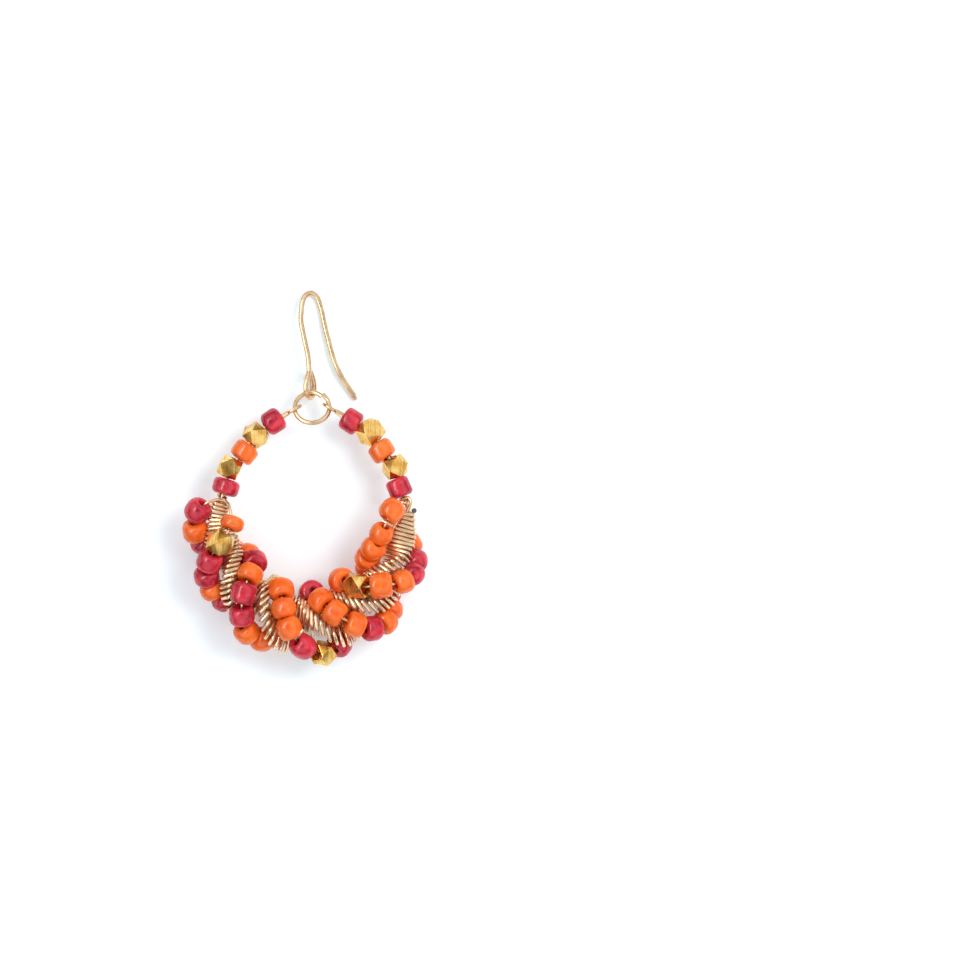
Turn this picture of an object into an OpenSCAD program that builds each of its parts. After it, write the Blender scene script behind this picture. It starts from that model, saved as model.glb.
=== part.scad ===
// Beaded hoop earring, lying flat: an ear hook, a jump ring and a wire hoop that carries ten beads and
// a flat wire coil, with two strings of seed beads wound in the two grooves of the coil.
// Millimetres. +Y points from the hoop to the hook and +Z up from the surface that it lies on.

/* [Hoop] */
// Height of the hoop's wire above the surface, where the strings are wound
hoop_z = 5.5; // [5.5:0.1:6]
// Height of the hoop's two eyes on the jump ring
eye_z = 3.5; // [3.4:0.1:3.6]
// Diameter of the hoop's wire
hoop_wire_d = 0.44; // [0.36:0.02:0.48]

/* [Ear hook] */
// Diameter of the ear hook's wire
hook_wire_d = 0.76; // [0.7:0.02:0.8]
// Length of the straight, round end that goes through the ear
tail_length = 3.4; // [3:0.1:3.6]
// Lean of the hook's plane, which lies on its straight leg
hook_lean = 23; // [22:1:24]

/* [Jump ring] */
// Diameter of the jump ring's wire
ring_wire_d = 0.76; // [0.7:0.02:0.8]
// Radius of the jump ring, to the middle of its wire
ring_r = 2.78; // [2.74:0.02:2.8]
// Slope of the ring, from the hoop's eyes down to the hook's loop
ring_slope = 27; // [25:1:28]

/* [Coil] */
// Diameter of the coil's wire
coil_wire_d = 0.5; // [0.4:0.02:0.52]
// Widest distance from turn to turn of the coil, along the hoop
coil_pitch = 0.72; // [0.72:0.01:0.8]
// Thickness of the flat coil, over the wire
coil_thickness = 2.3; // [2.1:0.1:2.3]

/* [Strings] */
// Diameter of the wires that the strings are threaded on
thread_d = 0.4; // [0.3:0.02:0.44]
// Height of the middle of the string over the hoop's wire, where it crosses the coil
string_rise = 3.45; // [3.45:0.05:3.6]

/* [Beads] */
// Bore through every bead
bore_d = 1.4; // [1.3:0.1:1.5]
// Rounding of a seed bead's rim, as a share of its length
rim_share = 0.42; // [0.2:0.02:0.44]
// Rounding of the edges of its bore
bore_rim = 0.3; // [0.1:0.05:0.3]

/* [Hidden] */

// Middle of the whole earring in the frame that the tables below use
middle_x = 0.16;
middle_y = -0.17;

gold_wire = "#e2c08a";
gold_cast = "#c9a045";
glass_orange = "#ea6427";
glass_burgundy = "#a51f35";

// What a row of a string holds
bare = 0;
orange = 1;
burgundy = 2;
nugget = 3;

// Line of the hoop's wire, left end to right end: x, y, and its height as a share from eye_z to hoop_z
hoop_stations = [
    [-1.8, 11.1, 0], [-5.45, 8.95, 0.2], [-8.0, 6.8, 0.4], [-10.1, 4.2, 0.6], [-11.9, 1.6, 0.8],
    [-12.9, -1.5, 0.95], [-13.5, -3.5, 1], [-14.1, -6.7, 1], [-13.4, -10.4, 1], [-12.2, -14.2, 1],
    [-10.1, -18.1, 1], [-7.0, -21.0, 1], [-3.0, -22.8, 1], [1.0, -23.4, 1], [5.1, -22.4, 1],
    [9.0, -20.3, 1], [12.0, -17.3, 1], [13.8, -14.1, 1], [15.0, -11.2, 1], [15.8, -8.3, 1],
    [16.3, -5.6, 1], [15.8, -3.4, 1], [14.8, -1.2, 0.95], [13.9, 2.0, 0.8], [12.2, 4.7, 0.6],
    [10.1, 7.3, 0.4], [7.1, 9.3, 0.2], [3.7, 11.5, 0],
];
// Station where the wound part of the hoop starts: "along" in every table is counted from there
start_station = 6;
hoop_steps = 10;
// Distances from point to point of the hoop's line, and to both sides of a place where its way is taken
core_step = 1;
heading_step = 0.2;
// The same for a string, in rows of its table
row_step = 0.1;
// Length of the hoop's wire that runs on from the middle of the first and last beads to the eyes' ends
core_inset = 0.8;
// Turn of each bead about its wire against the bead before
bead_turn = 35;

// The ten upper beads: along, offset outwards, kind, diameter or side, length, turn about the hoop's wire
left_beads = [
    [-15.5, 0.0, burgundy, 4.2, 3.2, 0],
    [-11.95, 0.1, nugget, 3.3, 3.2, 30],
    [-8.65, -0.25, orange, 4.1, 2.9, 0],
    [-5.3, 0.25, nugget, 3.3, 3.2, 5],
    [-2.2, -0.1, burgundy, 4.4, 2.6, 0],
];
right_beads = [
    [71.8, -0.1, burgundy, 4.0, 3.1, 0],
    [68.2, 0.25, nugget, 3.5, 3.5, 20],
    [64.7, -0.25, orange, 4.1, 2.9, 0],
    [61.4, 0.25, nugget, 3.3, 3.1, 40],
    [58.0, 0.0, burgundy, 3.8, 3.1, 0],
];

// The two strings, bead by bead: along the hoop, angle round it from outwards towards the top, lift off
// the coil, kind, diameter or side, length
string_one = [
    [0.9, 60, 0, bare, 0, 0],
    [2.3, 20, 0, burgundy, 4.1, 2.4],
    [4.4, -1, 0.1, orange, 4.1, 2.3],
    [6.2, -38, 0.15, burgundy, 4.0, 2.1],
    [7.7, -74, 0.1, orange, 4.0, 1.9],
    [9.1, -109, 0.1, orange, 4.0, 1.9],
    [10.4, -146, 0, orange, 4.0, 1.8],
    [12.0, -187, 0, burgundy, 4.0, 2.0],
    [13.7, -230, 0, orange, 4.0, 2.0],
    [15.9, -268, 0, burgundy, 4.0, 2.9],
    [18.0, -306, 0, burgundy, 4.0, 2.2],
    [19.7, -346, 0, orange, 4.0, 2.2],
    [21.7, -376, 0, orange, 4.0, 2.2],
    [23.4, -414, 0, orange, 4.0, 2.3],
    [25.1, -452, 0, burgundy, 4.0, 2.3],
    [26.7, -487, 0.1, orange, 4.0, 2.1],
    [28.6, -531, 0.5, burgundy, 4.0, 2.0],
    [30.7, -580, 0, orange, 4.0, 2.1],
    [32.5, -618, 0, orange, 4.0, 2.4],
    [34.6, -656, 0, orange, 4.0, 2.4],
    [36.2, -690, 0, burgundy, 4.0, 2.3],
    [37.9, -721, 0, orange, 4.0, 2.0],
    [39.4, -753, 0, orange, 4.0, 1.8],
    [40.6, -784, 0, burgundy, 4.0, 1.9],
    [41.7, -818, 0, orange, 4.0, 1.8],
    [42.8, -856, 0.8, orange, 4.0, 1.9],
    [44.1, -899, 0.6, orange, 4.0, 1.7],
    [46.2, -926, 0.6, orange, 4.0, 2.1],
    [49.3, -936, 0.7, orange, 4.0, 2.3],
    [53.5, -949, 0.3, orange, 4.0, 2.1],
    [55.4, -968, 0, bare, 0, 0],
];
string_two = [
    [1.3, 126, 0.9, bare, 0, 0],
    [4.1, 130, 0.3, orange, 3.9, 2.1],
    [6.9, 90, 0.3, nugget, 3.4, 3.4],
    [9.2, 50, 0, burgundy, 4.0, 2.5],
    [11.0, 14, 0, burgundy, 4.0, 2.2],
    [13.0, -9, 0, orange, 4.0, 2.2],
    [14.8, -36, 0, burgundy, 4.0, 1.9],
    [16.2, -69, 0.1, orange, 4.0, 2.0],
    [17.6, -103, 0.1, burgundy, 4.0, 2.0],
    [19.3, -148, 0.2, nugget, 3.2, 2.9],
    [21.2, -207, 0.4, orange, 4.0, 2.2],
    [23.1, -246, 0, orange, 4.0, 2.2],
    [24.9, -281, 0.1, orange, 4.0, 2.6],
    [27.1, -319, 0, burgundy, 4.0, 2.8],
    [29.2, -354, 0.2, nugget, 3.3, 3.1],
    [31.3, -387, 0, burgundy, 4.0, 2.1],
    [32.5, -423, 0, orange, 4.0, 2.1],
    [33.6, -457, 0, burgundy, 4.0, 2.1],
    [34.9, -493, 0.4, orange, 4.0, 1.9],
    [36.4, -547, 0.6, orange, 4.0, 1.9],
    [38.6, -593, 0.4, nugget, 3.4, 3.2],
    [41.4, -629, 0.1, orange, 4.1, 3.1],
    [43.4, -669, 0, orange, 4.0, 2.2],
    [45.3, -702, 0.1, burgundy, 4.0, 2.1],
    [47.1, -740, 0.1, burgundy, 4.0, 2.1],
    [49.0, -780, 0.3, orange, 4.0, 2.2],
    [51.4, -815, 0, orange, 4.0, 2.2],
    [53.6, -832, 0, bare, 0, 0],
    [55.3, -842, 0, bare, 0, 0],
];
// Distance of the strings' middle from the hoop's wire, in the hoop's plane, by along
string_reach = [
    [-0.4, 0.8], [0.7, 1.7], [2.2, 3.4], [4, 3.6], [10, 3.9], [13, 4.1], [20, 4.4], [30, 4.6],
    [36, 4.6], [40, 4.2], [45, 3.8], [54.3, 3.4], [55.5, 1.7], [56.3, 0.8],
];
// The same distance across the hoop's plane, as a share of string_rise
string_lift = [[-0.4, 0.2], [0.7, 0.5], [2.2, 1], [54.3, 1], [55.5, 0.5], [56.3, 0.2]];
// Half width of the flat coil, to the middle of its wire, by along
coil_reach = [
    [1.2, 1.0], [2, 1.6], [5, 2.4], [8, 2.8], [16, 3.7], [22, 4.6], [30, 4.7], [34, 4.2], [41, 3.3],
    [48, 2.1], [50, 1.8], [52, 1.2], [54.4, 0.8],
];
// Shift of the flat turns away from the hoop's middle where they lie in its plane, by along
coil_shift = [[18, 0], [22, 0.5], [32, 0.5], [37, 0]];
// Distance from turn to turn as a share of coil_pitch, by along
coil_spacing = [[1.2, 0.86], [12, 0.88], [18, 1], [38, 1], [43, 0.92], [47, 0.86], [54.4, 0.86]];
// Extra turn of the coil's edge at its ends, by along
coil_upright = [[1.2, 25], [4.6, 15], [7, 0], [44.6, 0], [47.3, -30], [49, -40], [51.2, -30], [53.9, -12]];
// Ends of the coil, along the hoop, and points of its line to a turn
coil_from = 1.2;
coil_to = 54.4;
coil_points = 12;
// Squareness of the coil's flat turns: 1 is an ellipse, less is squarer
coil_square = 0.6;
// How far the turns lean along the hoop, by along: at 1 the wire runs square to the coil's winding edge
coil_slant = [[4, 0], [8, 0.03], [18, 0.03], [26, 0], [40, 0.15], [46, 0]];
// Length over which the coil's twist is taken
twist_step = 0.5;

// Wraps of the strings' wires round the hoop's wire: radius, turns and pitch
wrap_r = 0.75;
wrap_turns = 0.8;
wrap_pitch = 0.95;
wrap_steps = 10;
// Start of each wrap along the hoop, and its angle
wrap_left = [[-0.45, 328], [-0.45, 148]];
wrap_right = [[56.25, 122], [56.25, 302]];
// Points of a string's wire from bead to bead
thread_steps = 3;

// Share of a nugget's side from face to face across its cut corners, and the lean of those faces
corner_share = 1.2;
corner_lean = 54.7;

// Twisted necks between the hoop's eyes and the first beads
neck_r = 0.26;
neck_pitch = 2.2;
neck_from = 1.2;
neck_step = 0.2;
// Half length and half height of an eye, its shift back from the ring, and half of the angle that it fills
eye_length = 1.1;
eye_height = 0.85;
eye_back = 0.1;
eye_open = 150;
eye_steps = 12;

// Middle of the jump ring, and the cut in it
ring_centre = [0.93, 11.3];
ring_cut = 47;
ring_gap = 7;
// Places of the hoop's two eyes on it
eye_angles = [186, 0];

// Ear hook: the tip of its straight end, and the turn of the line on which it rests
tail_tip = [7.84, 12.8];
hook_turn = 20.8;
tail_turn = 14;
// Line of the hook in its own plane, from the straight end over the bend and down the front leg
hook_stations = [
    [-1.12, 5.2], [-1.17, 6.9], [-1.07, 8.6], [-0.86, 10.2], [-0.68, 11.9], [-0.43, 13.5], [-0.17, 15.1],
    [0, 16.8], [-0.15, 17.7], [-0.75, 18.25], [-1.6, 18.25], [-2.35, 17.7], [-2.95, 16.9],
    [-3.35, 16.1], [-3.95, 14.7], [-4.3, 13.1], [-4.52, 11.5], [-4.8, 9.9], [-5.25, 8.3],
];
// Line of the loop at the foot of the front leg, which stands up through the jump ring
loop_stations = [
    [0.38, 17.3, 2.62], [0.28, 16.6, 2.9], [0.06, 15.7, 3.25], [-0.08, 14.7, 3.45], [0.0, 13.8, 3.35],
    [0.25, 13.15, 2.9], [0.65, 12.9, 2.2], [1.0, 13.2, 1.5], [1.3, 13.9, 1.1], [1.4, 14.8, 0.98],
    [1.25, 15.8, 1.2], [0.75, 17.2, 1.65],
];
hook_steps = 3;
// How much thinner the faceted wire is than the round end that it runs into
hook_ease = 0.02;

// Flat sides of each wire
hook_sides = 8;
core_sides = 6;
coil_sides = 5;
thread_sides = 5;

function unit(v) = v / norm(v);

// Point on the middle of the jump ring's wire
function ring_point(angle) =
    [ring_centre.x + ring_r * cos(angle), ring_centre.y + ring_r * sin(angle) * cos(ring_slope),
     eye_z - ring_r * sin(angle) * sin(ring_slope)];

// Smooth curve through a list of rows: u counts rows
function curve(rows, u) =
    let (k = min(floor(u), len(rows) - 2), t = u - k,
         a = rows[max(k - 1, 0)], b = rows[k], c = rows[k + 1], d = rows[min(k + 2, len(rows) - 1)])
    0.5 * (2 * b + (c - a) * t + (2 * a - 5 * b + 4 * c - d) * t * t + (3 * b - a - 3 * c + d) * t * t * t);

// The hoop's line, and the length up to each of its points
hoop_line = [
    for (i = [0 : hoop_steps * (len(hoop_stations) - 1)])
        let (p = curve(hoop_stations, i / hoop_steps)) [p[0], p[1], eye_z + p[2] * (hoop_z - eye_z)]
];
hoop_lengths = [
    for (i = 0, l = 0; i < len(hoop_line);
         l = l + norm(hoop_line[min(i + 1, len(hoop_line) - 1)] - hoop_line[i]), i = i + 1) l
];
hoop_start = hoop_lengths[start_station * hoop_steps];
hoop_tables = [
    for (axis = [0 : 2])
        [for (i = [0 : len(hoop_line) - 1]) [hoop_lengths[i] - hoop_start, hoop_line[i][axis]]]
];

function hoop(along) = [for (axis = [0 : 2]) lookup(along, hoop_tables[axis])];
function heading(along) = unit(hoop(along + heading_step) - hoop(along - heading_step));
function outward(along) = unit(cross(heading(along), [0, 0, 1]));
function upward(along) = cross(outward(along), heading(along));
// Point beside the hoop's line: reach is in the hoop's plane, rise across it
function beside(along, angle, reach, rise) =
    hoop(along) + reach * cos(angle) * outward(along) + rise * sin(angle) * upward(along);

// Middle of a string at row u, and the way it runs there
function on_string(rows, u) =
    let (p = curve(rows, u))
    beside(p[0], p[1], lookup(p[0], string_reach) + p[2], lookup(p[0], string_lift) * string_rise + p[2]);
function string_heading(rows, u) = unit(on_string(rows, u + row_step) - on_string(rows, u - row_step));

// Angle of a string at a place along the hoop
function string_angle(rows, along) = lookup(along, [for (row = rows) [row[0], row[1]]]);
// The coil's edge runs midway between the strings, and stands up more at its left end
function coil_angle(along) =
    (string_angle(string_one, along) + string_angle(string_two, along)) / 2 + lookup(along, coil_upright);

function squared(x) = sign(x) * pow(abs(x), coil_square);
// Places along the hoop where the coil's turns start
coil_turns = [
    for (along = coil_from; along < coil_to; along = along + coil_pitch * lookup(along, coil_spacing)) along
];
coil_table = [for (i = [0 : len(coil_turns) - 1]) [i, coil_turns[i]]];
// Twist of the coil at a place along the hoop, in radians to the millimetre
function coil_twist(along) =
    (coil_angle(along + twist_step) - coil_angle(along - twist_step)) / (2 * twist_step) * PI / 180;
function coil_point(turn) =
    let (start = lookup(turn, coil_table),
         wide = lookup(start, coil_reach) * squared(cos(360 * turn))
             + lookup(start, coil_shift) * cos(coil_angle(start)),
         thick = (coil_thickness - coil_wire_d) / 2 * squared(sin(360 * turn)),
         along = start - lookup(start, coil_slant) * coil_twist(start) * wide * thick,
         tilt = coil_angle(along))
    hoop(along) + (wide * cos(tilt) - thick * sin(tilt)) * outward(along)
        + (wide * sin(tilt) + thick * cos(tilt)) * upward(along);

// Line of one wrap round the hoop's wire, from its cut end
function wrap(start, way) = [
    for (i = [0 : wrap_steps])
        let (turned = way * wrap_turns * i / wrap_steps)
        beside(start[0] + wrap_pitch * turned, start[1] - 360 * turned, wrap_r, wrap_r)
];
function reversed(list) = [for (i = [len(list) - 1 : -1 : 0]) list[i]];

// Line of one end of the hoop's wire, from inside the first bead round the eye and back to that bead
function eye(ring_point, bead_point) =
    let (reach = norm(ring_point - bead_point), a = (ring_point - bead_point) / reach,
         c = unit(cross(a, [0, 0, 1])), b = cross(c, a),
         strand = [
             for (back = [neck_from : neck_step : reach])
                 let (angle = 90 + 360 * (back - neck_from) / neck_pitch)
                 [back, neck_r * cos(angle), neck_r * sin(angle)]
         ])
    concat(
        [for (s = reversed(strand)) if (s[0] < reach - core_inset)
            ring_point - s[0] * a - s[1] * c - s[2] * b],
        [for (i = [0 : eye_steps])
            let (angle = -eye_open + 2 * eye_open * i / eye_steps)
            ring_point + (eye_length * cos(angle) - eye_back) * a + eye_height * sin(angle) * b],
        [for (s = strand) ring_point - s[0] * a + s[1] * c + s[2] * b]
    );

// Frames carried along a line without twist, for the wires
function line_headings(line) = [
    for (i = [0 : len(line) - 1]) unit(line[min(i + 1, len(line) - 1)] - line[max(i - 1, 0)])
];
function line_sides(headings) = [
    for (i = 0, v = unit(cross(headings[0], [0.36, 0.48, 0.8])); i < len(headings);
         v = let (h = headings[min(i + 1, len(headings) - 1)]) unit(v - (v * h) * h), i = i + 1) v
];

// Round wire of diameter d along a line, with a number of flat sides
module wire(line, d, sides) {
    headings = line_headings(line);
    across = line_sides(headings);
    last = len(line) - 1;
    points = [
        for (i = [0 : last], k = [0 : sides - 1])
            line[i] + d / 2 * (cos(360 * k / sides) * across[i]
                + sin(360 * k / sides) * cross(headings[i], across[i]))
    ];
    walls = [
        for (i = [0 : last - 1], k = [0 : sides - 1])
            let (n = (k + 1) % sides)
            [i * sides + k, (i + 1) * sides + k, (i + 1) * sides + n, i * sides + n]
    ];
    caps = [[for (k = [0 : sides - 1]) k], [for (k = [sides - 1 : -1 : 0]) last * sides + k]];
    polyhedron(points, concat(walls, caps), convexity = 10);
}

// Moves from the frame of the tables to the earring's own
module placed() {
    translate([-middle_x, -middle_y, 0]) children();
}

// Puts the Z axis of a bead on a place and a direction
module threaded(place, way, turn) {
    translate(place) rotate([0, acos(way.z), atan2(way.y, way.x)]) rotate([0, 0, turn]) children();
}

// Drilled glass bead with a rounded rim
module seed_bead(d, l) {
    wall = (d - bore_d) / 2;
    rim = min(rim_share * l, wall - bore_rim - 0.05);
    face_from = bore_d / 2 + bore_rim;
    rotate_extrude($fn = 72) {
        translate([bore_d / 2, rim - l / 2]) square([wall, l - 2 * rim]);
        translate([bore_d / 2, bore_rim - l / 2]) square([bore_rim, l - 2 * bore_rim]);
        translate([face_from, -l / 2]) square([wall - bore_rim - rim, l]);
        for (end = [-1, 1]) {
            translate([d / 2 - rim, end * (l / 2 - rim)]) intersection() {
                circle(rim, $fn = 36);
                translate([0, -rim]) square([rim, 2 * rim]);
            }
            translate([face_from, end * (l / 2 - bore_rim)]) circle(bore_rim, $fn = 24);
        }
    }
}

// Drilled metal cube with its eight corners cut off
module gold_nugget(side, l) {
    difference() {
        intersection() {
            cube([side, side, l], center = true);
            corner_slab(side, 45);
            corner_slab(side, 135);
            corner_slab(side, 225);
            corner_slab(side, 315);
        }
        cylinder(h = 2 * side, d = bore_d, center = true, $fn = 72);
    }
}

// Slab whose two faces cut off a pair of opposite corners of a nugget
module corner_slab(side, turn) {
    rotate([0, corner_lean, turn]) cube([2 * side, 2 * side, corner_share * side], center = true);
}

module bead(kind, size, l) {
    if (kind == orange) color(glass_orange) seed_bead(size, l);
    if (kind == burgundy) color(glass_burgundy) seed_bead(size, l);
    if (kind == nugget) color(gold_cast) gold_nugget(size, l);
}

// One of the ten upper beads
module upper_bead(row) {
    placed() threaded(beside(row[0], 0, row[1], 0), heading(row[0]), row[5]) bead(row[2], row[3], row[4]);
}

// All the beads of one kind on a string, or only the one of that kind that is asked for
module string_beads(rows, kind, only = -1) {
    picked = [for (k = [0 : len(rows) - 1]) if (rows[k][3] == kind) k];
    placed() for (i = [0 : len(picked) - 1]) {
        k = picked[i];
        if (only < 0 || only == i) {
            threaded(on_string(rows, k), string_heading(rows, k), bead_turn * k)
                bead(kind, rows[k][4], rows[k][5]);
        }
    }
}

module string_thread(rows, number) {
    placed() color(gold_wire) wire(concat(
        wrap(wrap_left[number], 1),
        [for (u = [0 : 1 / thread_steps : len(rows) - 1]) on_string(rows, u)],
        reversed(wrap(wrap_right[number], -1))
    ), thread_d, thread_sides);
}

function hook_point(p) =
    let (side = p[0] * cos(hook_lean))
    [tail_tip.x + side * cos(hook_turn) - p[1] * sin(hook_turn),
     tail_tip.y + side * sin(hook_turn) + p[1] * cos(hook_turn),
     hook_wire_d / 2 - p[0] * sin(hook_lean)];

module ear_hook() {
    tail_end = [-tail_length * sin(tail_turn), tail_length * cos(tail_turn)];
    stations = concat([tail_end * 0.5, tail_end], hook_stations);
    line = concat([for (p = stations) hook_point(p)], loop_stations);
    placed() color(gold_wire) {
        wire([for (u = [0 : 1 / hook_steps : len(line) - 1]) curve(line, u)],
            hook_wire_d - hook_ease, hook_sides);
        threaded(hook_point([0, 0]), unit(hook_point(tail_end) - hook_point([0, 0])), 0)
            cylinder(h = tail_length, d = hook_wire_d, $fn = 32);
    }
}

module jump_ring() {
    placed() color(gold_wire) translate([ring_centre.x, ring_centre.y, eye_z])
        rotate([-ring_slope, 0, 0]) rotate([0, 0, ring_cut + ring_gap / 2])
            rotate_extrude(angle = 360 - ring_gap, $fn = 144) translate([ring_r, 0])
                circle(d = ring_wire_d, $fn = 48);
}

module hoop_wire() {
    left_bead = hoop(left_beads[0][0]);
    right_bead = hoop(right_beads[0][0]);
    placed() color(gold_wire) wire(concat(
        eye(ring_point(eye_angles[0]), left_bead),
        [for (along = [left_beads[0][0] + core_inset : core_step : right_beads[0][0] - core_inset])
            hoop(along)],
        reversed(eye(ring_point(eye_angles[1]), right_bead))
    ), hoop_wire_d, core_sides);
}

module wire_coil() {
    placed() color(gold_wire)
        wire([for (i = [0 : (len(coil_turns) - 1) * coil_points]) coil_point(i / coil_points)],
            coil_wire_d, coil_sides);
}

module bead_left_1() { upper_bead(left_beads[0]); }
module bead_left_2() { upper_bead(left_beads[1]); }
module bead_left_3() { upper_bead(left_beads[2]); }
module bead_left_4() { upper_bead(left_beads[3]); }
module bead_left_5() { upper_bead(left_beads[4]); }
module bead_right_1() { upper_bead(right_beads[0]); }
module bead_right_2() { upper_bead(right_beads[1]); }
module bead_right_3() { upper_bead(right_beads[2]); }
module bead_right_4() { upper_bead(right_beads[3]); }
module bead_right_5() { upper_bead(right_beads[4]); }
module string_one_orange() { string_beads(string_one, orange); }
module string_one_burgundy() { string_beads(string_one, burgundy); }
module string_two_orange() { string_beads(string_two, orange); }
module string_two_burgundy() { string_beads(string_two, burgundy); }
module nugget_one() { string_beads(string_two, nugget, 0); }
module nugget_two() { string_beads(string_two, nugget, 1); }
module nugget_three() { string_beads(string_two, nugget, 2); }
module nugget_four() { string_beads(string_two, nugget, 3); }
module thread_one() { string_thread(string_one, 0); }
module thread_two() { string_thread(string_two, 1); }

ear_hook();
jump_ring();
hoop_wire();
bead_left_1();
bead_left_2();
bead_left_3();
bead_left_4();
bead_left_5();
bead_right_1();
bead_right_2();
bead_right_3();
bead_right_4();
bead_right_5();
wire_coil();
string_one_orange();
string_one_burgundy();
string_two_orange();
string_two_burgundy();
nugget_one();
nugget_two();
nugget_three();
nugget_four();
thread_one();
thread_two();
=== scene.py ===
import math
import random

import bmesh
import bpy
from mathutils import Matrix, Vector


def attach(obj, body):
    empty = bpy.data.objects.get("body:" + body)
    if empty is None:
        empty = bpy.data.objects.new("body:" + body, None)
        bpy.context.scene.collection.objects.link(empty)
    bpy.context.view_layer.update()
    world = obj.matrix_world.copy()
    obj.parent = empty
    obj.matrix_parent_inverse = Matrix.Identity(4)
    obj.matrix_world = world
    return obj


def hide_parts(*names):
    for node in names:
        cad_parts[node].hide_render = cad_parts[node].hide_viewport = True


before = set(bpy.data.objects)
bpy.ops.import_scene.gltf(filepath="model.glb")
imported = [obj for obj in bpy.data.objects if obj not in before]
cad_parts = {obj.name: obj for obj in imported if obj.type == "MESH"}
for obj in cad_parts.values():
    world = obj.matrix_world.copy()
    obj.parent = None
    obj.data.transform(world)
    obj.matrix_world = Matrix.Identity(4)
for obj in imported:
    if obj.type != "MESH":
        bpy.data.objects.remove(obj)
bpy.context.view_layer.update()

# Camera
# The earring lies on white paper and is photographed from straight above with a long lens, left of the
# middle of the frame. One pixel of the 960 pixel frame is 0.16 mm on the earring.
mm = 0.001
pixels, pixel_size = 960, 0.16
frame_width = pixels * pixel_size * mm
lens, sensor = 150, 36
looked_at = Vector((27.7, -0.15, 5)) * mm
camera = bpy.data.objects.new("camera", bpy.data.cameras.new("camera"))
camera.data.lens = lens
camera.data.sensor_width = sensor
camera.data.clip_start = 0.01
camera.location = looked_at + Vector((0, 0, frame_width * lens / sensor))
bpy.context.collection.objects.link(camera)
bpy.context.scene.camera = camera

# White paper and studio light
# Matt white paper with a faint cloud of fibres, under a light tent that glows all round. A soft box
# behind the tent's right wall lays pale grey shadows to the left and shows in no reflection, and a
# reflector at the left only gives beads and metal their highlights. Below the tent and at the camera's
# opening it is dark, as the metal shows.
paper_size, tent_strength = 4, 1.2


def linear(hex_colour):
    """sRGB hex to the linear colour that a shader takes."""
    parts = [int(hex_colour[i:i + 2], 16) / 255 for i in (1, 3, 5)]
    return tuple(c / 12.92 if c <= 0.04045 else ((c + 0.055) / 1.055) ** 2.4 for c in parts) + (1.0,)


def node(tree, kind, sockets=None, **settings):
    """Adds a shader node. A socket takes a number, a colour, a vector or another node's output."""
    new = tree.nodes.new("ShaderNode" + kind)
    for name, value in settings.items():
        setattr(new, name, value)
    for name, value in (sockets or {}).items():
        if isinstance(value, bpy.types.NodeSocket):
            tree.links.new(value, new.inputs[name])
        else:
            new.inputs[name].default_value = value
    return new


def new_material(name):
    """A material with its node tree and its shader."""
    material = bpy.data.materials.new(name)
    material.use_nodes = True
    return material, material.node_tree, material.node_tree.nodes["Principled BSDF"]


def deselect():
    bpy.ops.object.select_all(action="DESELECT")


deselect()
bpy.ops.mesh.primitive_plane_add(size=paper_size)
paper = bpy.context.object
paper.name = "paper"
material, tree, shader = new_material("white paper")
place = node(tree, "TexCoord").outputs["Object"]
fibre = node(tree, "TexNoise", {"Vector": place, "Scale": 900, "Detail": 3})
tint = node(tree, "Mix", {"Factor": fibre.outputs["Fac"], "A": linear("#edf8f9"), "B": linear("#f1fbfc")},
            data_type="RGBA")
tree.links.new(tint.outputs["Result"], shader.inputs["Base Color"])
shader.inputs["Roughness"].default_value = 0.9
shader.inputs["Specular IOR Level"].default_value = 0.1
shader.inputs["Emission Color"].default_value = linear("#e8f1f6")
shader.inputs["Emission Strength"].default_value = 0.23
paper.data.materials.append(material)

world = bpy.data.worlds.new("light tent")
bpy.context.scene.world = world
world.use_nodes = True
sky = world.node_tree
height = node(sky, "SeparateXYZ", {"Vector": node(sky, "TexCoord").outputs["Generated"]})
band = node(sky, "ValToRGB", {"Fac": height.outputs["Z"]})
tent_glow = [(0.1, "#241a13"), (0.3, "#8d7b68"), (0.46, "#f4f6ff"), (0.88, "#f4f6ff"), (0.95, "#857b70")]
for i, (place, colour) in enumerate(tent_glow):
    stop = band.color_ramp.elements[i] if i < 2 else band.color_ramp.elements.new(place)
    stop.position = place
    stop.color = linear(colour)
sky.links.new(band.outputs["Color"], sky.nodes["Background"].inputs["Color"])
sky.nodes["Background"].inputs["Strength"].default_value = tent_strength

# Each lamp: its place, width and length in metres, its power in watts, and whether it shows in reflections.
lamps = {"soft box right": ((0.38, 0.19, 0.50), 0.3, 0.3, 1.9, False),
         "reflector left": ((-0.30, 0.12, 0.50), 0.12, 0.6, 1.75, True)}
for name, (place, width, length, power, shines) in lamps.items():
    lamp = bpy.data.objects.new(name, bpy.data.lights.new(name, "AREA"))
    lamp.data.shape = "RECTANGLE"
    lamp.data.size = width
    lamp.data.size_y = length
    lamp.data.energy = power
    lamp.location = place
    lamp.rotation_euler = (-Vector(place)).to_track_quat("-Z", "X").to_euler()
    lamp.visible_glossy = shines
    lamp.visible_diffuse = not shines
    bpy.context.collection.objects.link(lamp)
bpy.context.scene.view_settings.view_transform = "Standard"

# Hoop wire
# The core of the hoop: drawn brass wire with a pale gold plating, hardly thicker than a pin. It runs
# through the ten upper beads and the coil. Each end goes round the jump ring and back into the first bead.
hoop_z, eye_z, hoop_wire, hoop_sides = 5.5, 3.5, 0.6, 14
# All stations are in millimetres from one point inside the hoop, and this is the whole earring's middle.
middle = Vector((0.16, -0.17, 0))
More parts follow.
